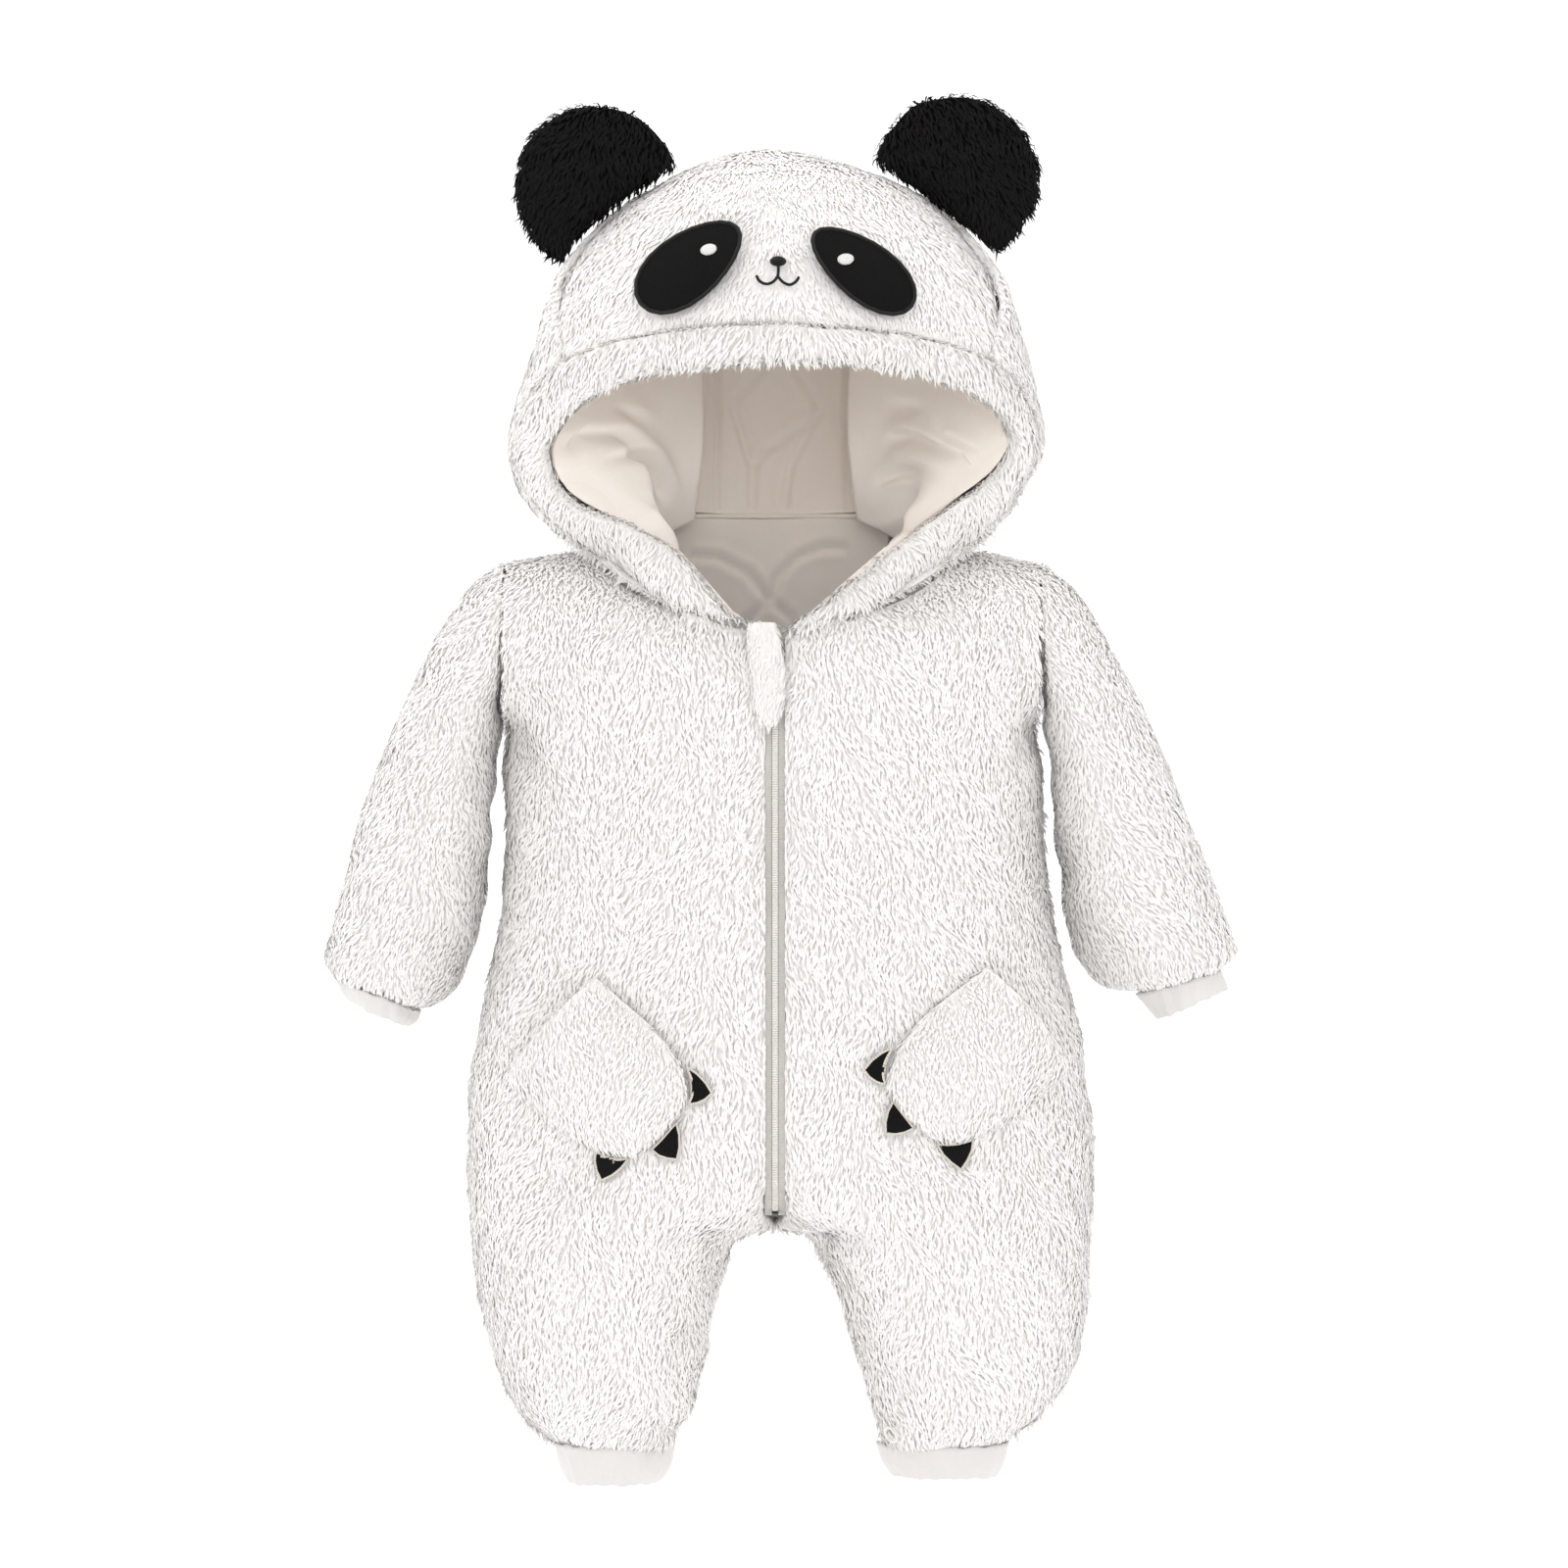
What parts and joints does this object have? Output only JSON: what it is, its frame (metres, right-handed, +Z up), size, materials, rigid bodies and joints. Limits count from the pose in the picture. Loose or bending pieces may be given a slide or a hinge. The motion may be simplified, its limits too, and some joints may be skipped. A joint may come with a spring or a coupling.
{
  "type": "baby snowsuit",
  "caption": "Hooded one-piece plush snowsuit for a baby, filled out with no wearer: bear ears, paw pockets, front zip, cuffed sleeves and legs.",
  "frame": {"origin": "middle of the neck at the height of the throat's shoulder line, where a wearer's neck carries the suit", "axes": "+Z up towards the hood, front facing -Y, +X to the viewer's right"},
  "size_m": [0.551, 0.214, 0.834],
  "materials": {
    "plush": "short shaggy off-white plush, nap running down",
    "fleece": "smooth off-white fleece",
    "lining": "cream quilted velour",
    "black_plush": "black plush",
    "black_felt": "black short-pile applique with a stitched edge",
    "zip_tape": "woven grey-beige zip tape",
    "zip_coil": "moulded coil",
    "zip_metal": "dark bottom stop"
  },
  "bodies": {
    "root": {"body_front_left": "plush", "body_back_left": "plush", "sleeve_left": "plush", "sleeve_cuff_left": "fleece", "leg_cuff_left": "fleece", "hood_side_left": "plush", "lining_side_left": "lining", "ear_left_front": "black_plush", "ear_left_back": "black_plush", "eye_patch_left": "black_felt", "pocket_left": "plush", "claw_left_1": "black_felt", "claw_left_2": "black_felt", "claw_left_3": "black_felt", "zip_tape_left": "zip_tape", "body_front_right": "plush", "body_back_right": "plush", "sleeve_right": "plush", "sleeve_cuff_right": "fleece", "leg_cuff_right": "fleece", "hood_side_right": "plush", "lining_side_right": "lining", "ear_right_front": "black_plush", "ear_right_back": "black_plush", "eye_patch_right": "black_felt", "pocket_right": "plush", "claw_right_1": "black_felt", "claw_right_2": "black_felt", "claw_right_3": "black_felt", "zip_tape_right": "zip_tape", "hood_centre": "plush", "hood_band": "plush", "lining_centre": "lining", "lining_neck": "lining", "zip_coil": "zip_coil", "zip_slider": "zip_coil", "zip_stop": "zip_metal", "zip_guard": "plush"}
  },
  "joints": []
}
